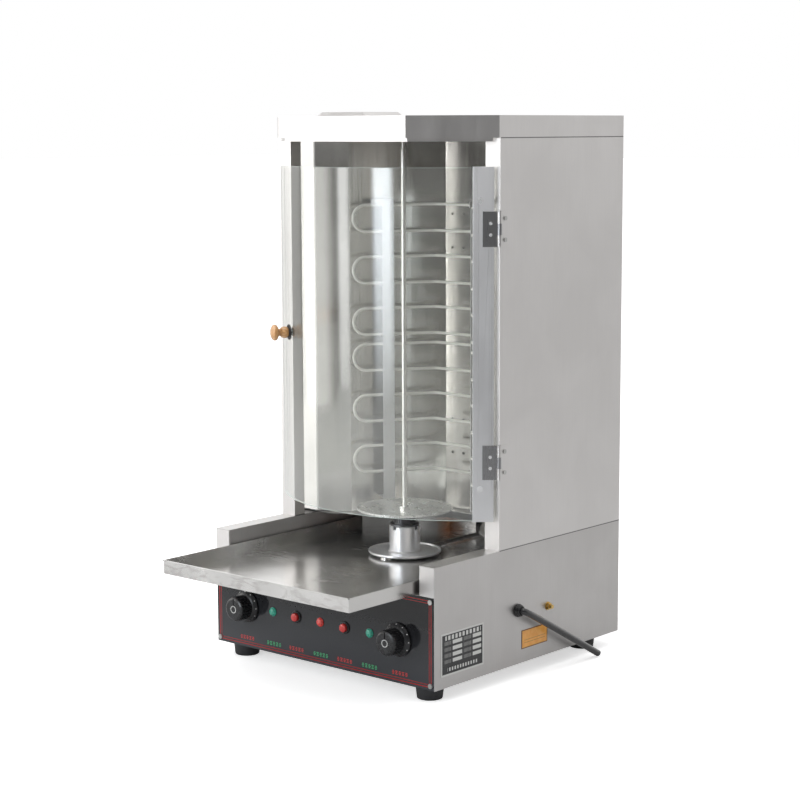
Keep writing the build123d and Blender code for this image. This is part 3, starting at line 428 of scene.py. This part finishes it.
FINISHES = {
    "stainless": stainless(),
    "mirror_steel": reflector_steel(),
    "overlay": overlay("panel_overlay"),
    "rubber": rubber(),
    "zinc": zinc(),
    "insulation": insulation(),
    "brass": brass(),
    "element": element(),
    "ceramic": ceramic(),
    "motor_paint": motor_paint(),
    "chrome": chrome(),
    "cast_iron": cast_iron(),
    "glass": glass(),
    "aluminium": aluminium(),
    "wood": wood("door_knob"),
    "black_plastic": black_plastic(),
    "red_plastic": red_plastic(),
    "cord": cord(),
    "plate_print": plate_print("side_plates"),
}
SPECIAL = {
    "base_side_left": base_steel(),
    "base_side_right": base_steel(),
    "drive_hub": plated("satin_hub", (0.97, 0.97, 0.98), (0.93, 0.93, 0.94), 0.38, 0.8),
    "meat_disc": plated("disc_steel", (0.96, 0.96, 0.94), (0.9, 0.9, 0.88), 0.28, 0.8),
    "drip_tray": tray_steel("drip_tray"),
    "pilot_lamps": lens_by_place(),
    "element_straps": strap_steel(),
    "spit_rod": plated("bright_bar", (0.95, 0.94, 0.92), (0.88, 0.87, 0.85), 0.4),
    "door_rail": rail_steel(),
    "door_screws": plated("bright_screw", (0.95, 0.95, 0.95), (0.85, 0.85, 0.85), 0.28, 0.5),
    "door_hinge_leaves": leaf_steel(),
}
INK = {
    "red": ink("red_ink", (0.62, 0.03, 0.03)),
    "green": ink("green_ink", (0.05, 0.42, 0.16)),
    "white": ink("white_ink", (0.72, 0.72, 0.7)),
}


def paint(obj, material):
    obj.data.materials.clear()
    obj.data.materials.append(material)


def join_corners(obj):
    """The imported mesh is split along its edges; this closes it and shades its faces smoothly."""
    for face in obj.data.polygons:
        face.use_smooth = True
    obj.modifiers.new("weld", "WELD").merge_threshold = 0.01 * MM


def creased(obj, angle=22):
    """Crisp bends, of more than the angle in degrees: sheet metal and small hardware."""
    join_corners(obj)
    obj.modifiers.new("crease", "EDGE_SPLIT").split_angle = radians(angle)


def rounded(obj, width):
    """Rolled or moulded edges that catch the light."""
    join_corners(obj)
    bevel = obj.modifiers.new("bevel", "BEVEL")
    bevel.width = width
    bevel.segments = 3
    bevel.limit_method = "ANGLE"
    bevel.angle_limit = radians(38)
    bevel.harden_normals = True
    obj.modifiers.new("normals", "WEIGHTED_NORMAL").keep_sharp = True


# Width of the rounding, in millimetres.
ROUNDED_EDGE = {
    "rubber_feet": 0.8,
    "door_glass": 0.5,
    "door_rail": 0.3,
    "door_knob": 0.3,
    "thermostat_knob_left": 0.4,
    "thermostat_knob_right": 0.4,
    "button_left": 0.3,
    "button_right": 0.3,
    "cable_gland": 0.5,
}
# Parts on the spindle that keep shallower bends crisp, of more than this angle in degrees.
SHALLOW_BENDS = ("drive_hub", "meat_disc", "disc_nut")
SHALLOW_ANGLE = 7.5


def dress_cad_nodes():
    for name, node in NODES.items():
        paint(node, SPECIAL.get(name) or FINISHES[SLOT_OF[name]])
        if name in ROUNDED_EDGE:
            rounded(node, ROUNDED_EDGE[name] * MM)
        elif name in SHALLOW_BENDS:
            creased(node, SHALLOW_ANGLE)
        else:
            creased(node)


# ------------------------------------------------------------------ mesh pieces
def piece(name, shape, material, body):
    """Turn a finished bmesh into a piece that rides on a CAD body."""
    mesh = bpy.data.meshes.new(name)
    bmesh.ops.recalc_face_normals(shape, faces=shape.faces)
    shape.to_mesh(mesh)
    shape.free()
    obj = bpy.data.objects.new(name, mesh)
    bpy.context.scene.collection.objects.link(obj)
    paint(obj, material)
    creased(obj)
    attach(obj, body)
    return obj


def standing(point, normal):
    """A matrix whose Z axis is the normal and whose origin is the point."""
    turn = Vector(normal).to_track_quat("Z", "Y").to_matrix().to_4x4()
    return Matrix.Translation(point) @ turn


def add_turned(shape, profile, place, steps=40):
    """Turn a profile of (radius, height) points, both ends on the axis, about the place's Z axis."""
    rings = []
    angles = [2 * pi * k / steps for k in range(steps)]
    for radius, height in profile:
        points = [Vector((radius * cos(a), radius * sin(a), height)) for a in angles]
        if radius == 0:
            points = [Vector((0, 0, height))]
        rings.append([shape.verts.new(place @ point) for point in points])
    for inner, outer in zip(rings, rings[1:]):
        for k in range(steps):
            corners = [inner[k % len(inner)], inner[(k + 1) % len(inner)]]
            corners += [outer[(k + 1) % len(outer)], outer[k % len(outer)]]
            shape.faces.new(list(dict.fromkeys(corners)))


def add_ring(shape, profile, place, steps=40):
    """Turn a closed profile that stays clear of the axis."""
    loops = []
    for k in range(steps):
        angle = 2 * pi * k / steps
        points = [Vector((r * cos(angle), r * sin(angle), h)) for r, h in profile]
        loops.append([shape.verts.new(place @ point) for point in points])
    for k, loop in enumerate(loops):
        after = loops[(k + 1) % steps]
        for n in range(len(loop)):
            m = (n + 1) % len(loop)
            shape.faces.new([loop[n], loop[m], after[m], after[n]])


def add_pad(shape, centre, size, depth, outward):
    """A thin printed bar with rounded corners, standing on a vertical face that looks outward."""
    out = Vector(outward)
    side, up = Vector((0, 0, 1)).cross(out), Vector((0, 0, 1))
    half_w, half_h = size[0] / 2, size[1] / 2
    nip = min(half_w, half_h) * 0.5
    corners = [(half_w - nip, half_h), (half_w, half_h - nip)]
    outline = corners + [(x, -y) for x, y in reversed(corners)]
    outline += [(-x, -y) for x, y in corners] + [(-x, y) for x, y in reversed(corners)]
    faces = []
    for lift in (0, depth):
        base = Vector(centre) + out * lift
        faces.append([shape.verts.new(base + side * x + up * y) for x, y in outline])
    back, front = faces
    shape.faces.new(front)
    shape.faces.new(reversed(back))
    for k, corner in enumerate(back):
        after = (k + 1) % len(back)
        shape.faces.new([corner, back[after], front[after], front[k]])


def panel_labels():
    """A short row of blank print under each control, red and green by turns."""
    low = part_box("panel_overlay")[0]
    colours = {"red": (-151, -49, 47, 152), "green": (-95, 0, 95)}
    block_pitch, stroke_pitch, first_stroke = 6.1 * MM, 2.1 * MM, 12.5 * MM
    long_stroke, short_stroke, thickness, film = 4.6 * MM, 3.2 * MM, 1.3 * MM, 0.08 * MM
    for colour, places in colours.items():
        shape = bmesh.new()
        for place in places:
            for block in range(5):
                for stroke in range(3):
                    x = place * MM + block_pitch * (block - 2)
                    z = low.z + first_stroke + stroke_pitch * stroke
                    width = long_stroke if (block + stroke) % 2 else short_stroke
                    add_pad(shape, (x, low.y, z), (width, thickness), film, (0, -1, 0))
        piece(f"panel_labels_{colour}", shape, INK[colour], "case")


def knob_marks(side):
    """White setting dots round the knob's skirt, and a ring on its face."""
    node = f"thermostat_knob_{side}"
    low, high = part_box(node)
    axis = Vector(((low.x + high.x) / 2, low.y, (low.z + high.z) / 2))
    dots_y, dots_radius = low.y + 24.8 * MM, 22.75 * MM
    shape = bmesh.new()
    dot = [(0, 0), (0.9 * MM, 0), (0.8 * MM, 0.3 * MM), (0, 0.35 * MM)]
    for k in range(9):
        angle = radians(-30 + 30 * k)
        around = Vector((cos(angle), 0, sin(angle)))
        slope = (around * 3.5 + Vector((0, -3, 0))).normalized()
        place = Vector((axis.x, dots_y, axis.z)) + around * dots_radius
        add_turned(shape, dot, standing(place, slope), 16)
    face = standing(axis, (0, -1, 0))
    ring = [(4.4, 0), (5.6, 0), (5.6, 0.15), (4.4, 0.15)]
    add_ring(shape, [(r * MM, h * MM) for r, h in ring], face)
    piece(f"knob_marks_{side}", shape, INK["white"], f"knob_{side}")


def liner_screws():
    """Pan-head screws in the reflector's back, over the brackets of the straps. Their heads are coloured
    near black as painted shade, standing in for the shade in the holes there.
    """
    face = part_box("reflector_back")[0].y
    shape = bmesh.new()
    head = [(0, 0), (2.3, 0), (2.2, 0.7), (1.6, 1.3), (0, 1.5)]
    head = [(r * MM, h * MM) for r, h in head]
    columns, heights = (-38, -16, 16, 38), (265, 318, 587, 639)
    for x in columns:
        for z in heights:
            add_turned(shape, head, standing((x * MM, face, z * MM), (0, -1, 0)), 20)
    # Painted shade: the heads get a near-black colour in place of the shade that fills the screw holes.
    darkened = plated("screw_painted_shade", (0.16, 0.155, 0.15), (0.09, 0.088, 0.085), 0.45)
    piece("liner_screws", shape, darkened, "case")


# ------------------------------------------------------------------ studio
CAMERA_AT = (1.9046, -2.1915, 0.7706)
CAMERA_YAW, CAMERA_PITCH, CAMERA_ROLL = radians(41.119), radians(-7.898), radians(-0.226)
CAMERA_LENS = 88.18
CAMERA_SIDE = (0.72, -0.62)


def camera():
    """The viewpoint: turned to the object's front right, a little above it, looking slightly down."""
    data = bpy.data.cameras.new("camera")
    data.lens = CAMERA_LENS
    obj = bpy.data.objects.new("camera", data)
    bpy.context.scene.collection.objects.link(obj)
    turn = Matrix.Rotation(CAMERA_YAW, 4, "Z") @ Matrix.Rotation(pi / 2 + CAMERA_PITCH, 4, "X")
    obj.matrix_world = Matrix.Translation(CAMERA_AT) @ turn @ Matrix.Rotation(CAMERA_ROLL, 4, "Z")
    bpy.context.scene.camera = obj


def soft_box(name, place, aim, width, height, power, tint=(1, 1, 1)):
    data = bpy.data.lights.new(name, "AREA")
    data.shape = "RECTANGLE"
    data.size, data.size_y = width, height
    data.energy = power
    data.color = tint
    obj = bpy.data.objects.new(name, data)
    obj.location = place
    obj.rotation_euler = (Vector(aim) - Vector(place)).to_track_quat("-Z", "Y").to_euler()
    bpy.context.scene.collection.objects.link(obj)
    return obj


def soft_card(name, place, aim, width, height, radiance, tint=(1, 1, 1)):
    """A panel that glows on one side and fades towards its rim; the camera and shadows pass it by."""
    mesh = bpy.data.meshes.new(name)
    shape = bmesh.new()
    bmesh.ops.create_grid(shape, x_segments=1, y_segments=1, size=0.5)
    shape.to_mesh(mesh)
    shape.free()
    card = bpy.data.objects.new(name, mesh)
    bpy.context.scene.collection.objects.link(card)
    card.location = place
    card.rotation_euler = (Vector(aim) - Vector(place)).to_track_quat("Z", "Y").to_euler()
    card.scale = (width, height, 1)
    card.visible_camera = False
    card.visible_shadow = False
    s = Shader(name)
    x, y, _ = s.add("SeparateXYZ", {"Vector": s.place}).outputs

    def fade(place, start):
        """1 about the middle of the card, easing to 0 between the start and the rim."""
        limits = {"From Min": 0.5, "From Max": start, "To Min": 0.0, "To Max": 1.0}
        off = {"Value": s.math("ABSOLUTE", place), **limits}
        return s.add("MapRange", off, interpolation_type="SMOOTHSTEP").outputs[0]

    front = s.math("SUBTRACT", 1.0, s.add("NewGeometry").outputs["Backfacing"])
    glow = s.math("MULTIPLY", fade(x, 0.2), fade(y, 0.15))
    level = s.math("MULTIPLY", glow, s.math("MULTIPLY", front, radiance))
    paint(card, s.surface(s.add("Emission", {"Color": (*tint, 1), "Strength": level}).outputs[0]))
    return card


def link_light(light, state, *names):
    """Let the light reach only the named CAD nodes (INCLUDE), or all but these (EXCLUDE)."""
    chosen = bpy.data.collections.new(f"{light.name}_nodes")
    for name in names:
        chosen.objects.link(NODES[name])
    light.light_linking.receiver_collection = chosen
    for item in chosen.collection_objects:
        item.light_linking.link_state = state
    return chosen


def room():
    """White to the camera; all else sees a grey room, brightest back left, dimmest front right."""
    world = bpy.data.worlds.new("studio")
    bpy.context.scene.world = world
    world.use_nodes = True
    tree = world.node_tree
    tree.nodes.clear()

    def add(kind, *values, **settings):
        node = tree.nodes.new("ShaderNode" + kind)
        for key, value in settings.items():
            setattr(node, key, value)
        for index, value in enumerate(values):
            if isinstance(value, bpy.types.NodeSocket):
                tree.links.new(value, node.inputs[index])
            elif value is not None:
                node.inputs[index].default_value = value
        return node.outputs

    look = add("TexCoord")["Generated"]

    def lobe(direction, start, end, gain):
        """Brightness that grows towards a direction, from the cosine start to the cosine end."""
        toward = add("VectorMath", look, Vector(direction).normalized(), operation="DOT_PRODUCT")["Value"]
        return add("MapRange", toward, start, end, 0.0, gain)[0]

    level = 0.3
    for gain in (
        lobe((0.65, 0.75, 0.0), 0.35, 0.9, 0.55),
        lobe((-0.65, -0.75, 0.0), 0.62, 0.97, 0.45),
        lobe((-0.79, 0.6, 0.1), 0.45, 0.9, 0.95),
        lobe((0.0, 0.0, 1.0), 0.3, 0.95, 0.5),
        lobe((*CAMERA_SIDE, 0.1), 0.55, 0.95, -0.18),
    ):
        level = add("Math", level, gain, operation="ADD")[0]
    seen = add("LightPath")["Is Camera Ray"]
    strength = add("Mix", seen, None, level, 1.0)[0]
    background = add("Background", (1, 1, 1, 1), strength)[0]
    output = tree.nodes.new("ShaderNodeOutputWorld")
    tree.links.new(background, output.inputs["Surface"])


def studio_floor():
    """A pale board under the feet; all but the camera see it darken towards the camera's side."""
    mesh = bpy.data.meshes.new("floor")
    shape = bmesh.new()
    bmesh.ops.create_grid(shape, x_segments=2, y_segments=2, size=40)
    bmesh.ops.translate(shape, verts=shape.verts, vec=(0, 0, cad_box[0].z))
    shape.to_mesh(mesh)
    floor = bpy.data.objects.new("floor", mesh)
    bpy.context.scene.collection.objects.link(floor)
    s = Shader("floor")
    tone = s.blend(s.span(s.noise(3, detail=3), 0, 1), (0.93, 0.93, 0.93), (0.95, 0.95, 0.95))
    board = s.add("BsdfDiffuse", {"Color": tone}).outputs[0]
    lit = s.add("AddShader", {0: board, 1: s.add("Emission", {"Strength": 0.55}).outputs[0]}).outputs[0]
    nearness = s.add("VectorMath", {0: s.place, 1: (*CAMERA_SIDE, 0)}, operation="DOT_PRODUCT")
    nearness = s.span(nearness.outputs["Value"], 0, 1, 0.6, 2.0)
    darkened = s.blend(nearness, (0.68, 0.68, 0.68), (0.28, 0.28, 0.28))
    darkened = s.add("BsdfDiffuse", {"Color": darkened}).outputs[0]
    seen = s.add("LightPath").outputs["Is Camera Ray"]
    paint(floor, s.surface(s.add("MixShader", {0: seen, 1: darkened, 2: lit}).outputs[0]))


def studio():
    bpy.context.scene.view_settings.view_transform = "Standard"
    camera()
    room()
    studio_floor()
    soft_card("side_key", (-2.47, -1.31, 0.75), (0, 0, 0.5), 1.9, 3.4, 2.6, (1, 0.985, 0.96))
    strip = soft_card("front_strip", (-0.37, -2.9, 0.9), (0, 0, 0.6), 0.95, 2.2, 9.0, (0.88, 0.94, 1))
    key = soft_card("key_strip", (-1.95, -2.6, 0.8), (0, 0, 0.6), 0.7, 2.6, 5.0)
    for light in (strip, key):
        link_light(light, "EXCLUDE", "reflector_left", "reflector_right", "reflector_back")
    rail = soft_box("rail_light", (1.7, -1.9, 1.05), (0.2, -0.05, 0.7), 0.5, 0.5, 2.5)
    link_light(rail, "INCLUDE", "door_rail")
    edge = soft_box("flange_light", (-1.5, -1.5, 0.5), (-0.2, 0, 0.45), 1.0, 2.6, 100)
    edge.light_linking.blocker_collection = link_light(edge, "INCLUDE", "reflector_left")
    soft_box("overhead", (0.0, -0.6, 2.8), (0, 0, 0.3), 1.6, 1.6, 22)


dress_cad_nodes()
panel_labels()
knob_marks("left")
knob_marks("right")
liner_screws()
studio()
